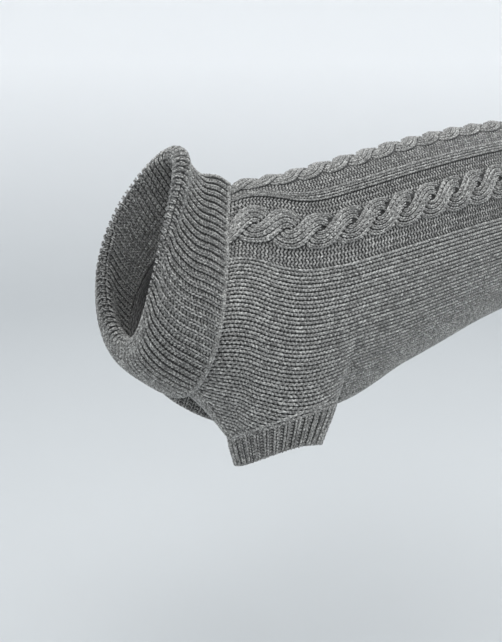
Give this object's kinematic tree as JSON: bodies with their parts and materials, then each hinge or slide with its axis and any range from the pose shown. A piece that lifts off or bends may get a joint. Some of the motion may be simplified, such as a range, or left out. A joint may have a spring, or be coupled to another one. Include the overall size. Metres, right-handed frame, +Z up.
{
  "type": "dog sweater",
  "caption": "Worn knitted dog sweater with a turned-over ribbed neck, rope cables along the back, ribbed leg cuffs and a ribbed hem, its hollow open at every end.",
  "frame": {"origin": "inside of the back over the wearer's nape, just behind the neck seam", "axes": "+X towards the tail, +Y to the wearer's right, +Z up"},
  "size_m": [0.4896, 0.137, 0.2401],
  "materials": {
    "knit": "soft heather yarn in plain, purl and cable stitches",
    "rib": "the same yarn in one by one rib"
  },
  "bodies": {
    "root": {"back_panel": "knit", "belly_panel": "knit", "collar": "rib", "cuff_left": "rib", "cuff_right": "rib", "hem_band": "rib"}
  },
  "joints": []
}
